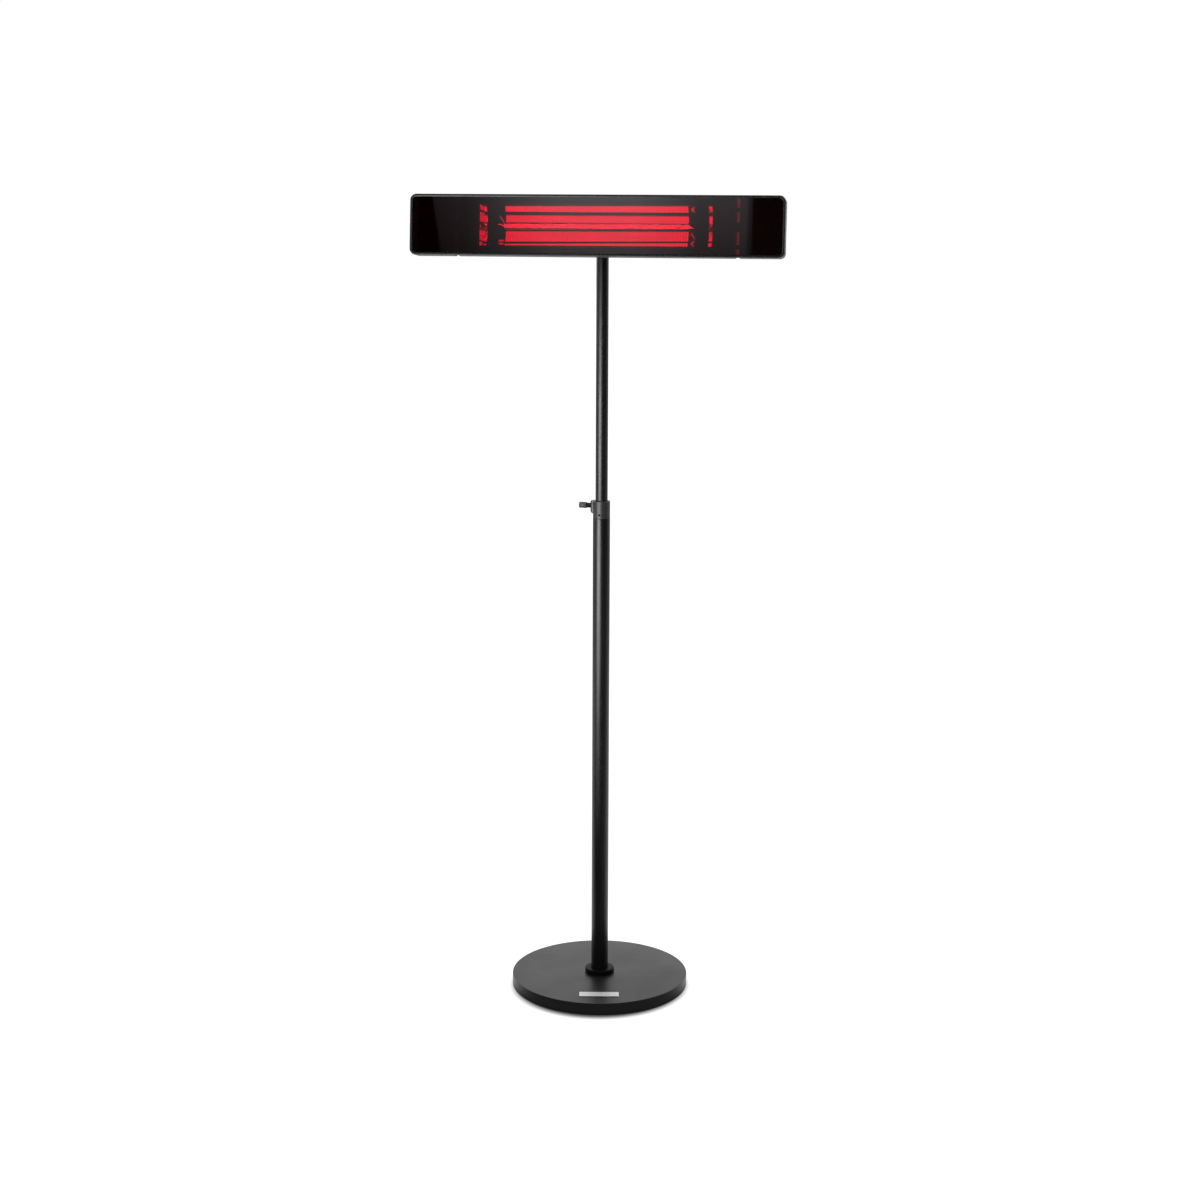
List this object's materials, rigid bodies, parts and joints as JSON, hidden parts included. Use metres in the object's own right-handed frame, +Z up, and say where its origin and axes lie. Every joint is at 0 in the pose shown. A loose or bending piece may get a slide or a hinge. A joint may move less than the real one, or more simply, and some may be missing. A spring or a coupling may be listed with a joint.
{
  "type": "infrared patio heater tower",
  "caption": "Long glass-fronted infrared heater head that tilts on a telescopic pole with a round weighted base.",
  "frame": {"origin": "centre of the base on the floor", "axes": "+Z up along the pole, +X along the heater head, the glass facing -Y"},
  "size_m": [0.952, 0.47, 2.111],
  "materials": {
    "black_powder_coat": "satin black powder coat",
    "collar_grey": "satin dark grey paint",
    "black_plastic": "fine-grained black",
    "grey_plastic": "dark grey",
    "white_nylon": "natural nylon",
    "black_rubber": "matt",
    "cast_iron": "as cast, primed",
    "steel": "zinc plated",
    "plated_metal": "satin, bare",
    "black_aluminium": "satin black",
    "reflector_aluminium": "polished",
    "dark_glass": "glossy, passes only deep red light",
    "quartz": "clear",
    "glowing_wire": "glowing red",
    "white_ceramic": "unglazed",
    "silicone": "matt silicone sleeve",
    "fibre": "woven glass fibre"
  },
  "bodies": {
    "stand": {"foot_mat": "black_rubber", "ballast_disc": "cast_iron", "base_cover": "black_powder_coat", "bare_plate": "plated_metal", "pole_flange": "black_powder_coat", "pole_washer": "steel", "pole_bolt": "steel", "outer_tube": "black_powder_coat", "pole_plug": "steel", "tube_bush": "white_nylon", "clamp_collar": "collar_grey", "collar_screw": "black_aluminium", "clamp_pad": "white_nylon"},
    "clamp_grip": {"clamp_stud": "steel", "clamp_knob": "grey_plastic"},
    "glide": {"glide_bush": "white_nylon", "glide_screw": "steel"},
    "mast": {"mast_plug": "black_plastic", "mast_tube": "black_powder_coat", "mast_head": "black_aluminium", "mast_head_screw": "steel", "pivot_washer_left": "steel", "pivot_washer_right": "steel", "pivot_bolt": "steel"},
    "tilt_grip": {"pivot_knob": "black_plastic"},
    "head": {"bezel": "black_aluminium", "glass_panel": "dark_glass", "glass_gasket": "fibre", "centre_housing": "black_aluminium", "end_plate_left": "black_aluminium", "end_plate_right": "black_aluminium", "end_cap_left": "black_aluminium", "end_cap_right": "black_aluminium", "duct_left": "black_aluminium", "duct_right": "black_aluminium", "track_upper": "black_aluminium", "track_lower": "black_aluminium", "reflector": "reflector_aluminium", "reflector_end_left": "reflector_aluminium", "reflector_end_right": "reflector_aluminium", "heat_shield": "steel", "lamp_tube": "quartz", "filament": "glowing_wire", "lamp_base_left": "white_ceramic", "lamp_base_right": "white_ceramic", "lamp_holder_left": "steel", "lamp_holder_right": "steel", "lead_wire_left": "silicone", "lead_wire_right": "silicone", "terminal_block": "white_ceramic", "gland_body": "black_plastic", "gland_nut": "black_plastic", "tilt_bracket": "black_powder_coat", "bracket_bolt_upper_left": "steel", "bracket_bolt_upper_right": "steel", "bracket_bolt_lower_left": "steel", "bracket_bolt_lower_right": "steel", "slot_nut_upper": "steel", "slot_nut_lower": "steel"}
  },
  "joints": [
    {"name": "mast_slide", "type": "slide", "parent": "stand", "child": "glide", "axis": [0, 0, 1], "range_m": [-0.55, 0.15]},
    {"name": "mast_swivel", "type": "hinge", "parent": "glide", "child": "mast", "pos_m": [0, 0, 1], "axis": [0, 0, 1], "range_deg": [-180, 180]},
    {"name": "head_tilt", "type": "hinge", "parent": "mast", "child": "head", "pos_m": [0, -0.038, 1.9883], "axis": [1, 0, 0], "range_deg": [-10, 50]},
    {"name": "clamp_knob_turn", "type": "hinge", "parent": "stand", "child": "clamp_grip", "pos_m": [0, 0, 1.3068], "axis": [-0.989, 0.1478, 0], "range_deg": [0, 720]},
    {"name": "tilt_knob_turn", "type": "hinge", "parent": "mast", "child": "tilt_grip", "pos_m": [0, -0.038, 1.9883], "axis": [1, 0, 0], "range_deg": [0, 720]}
  ]
}
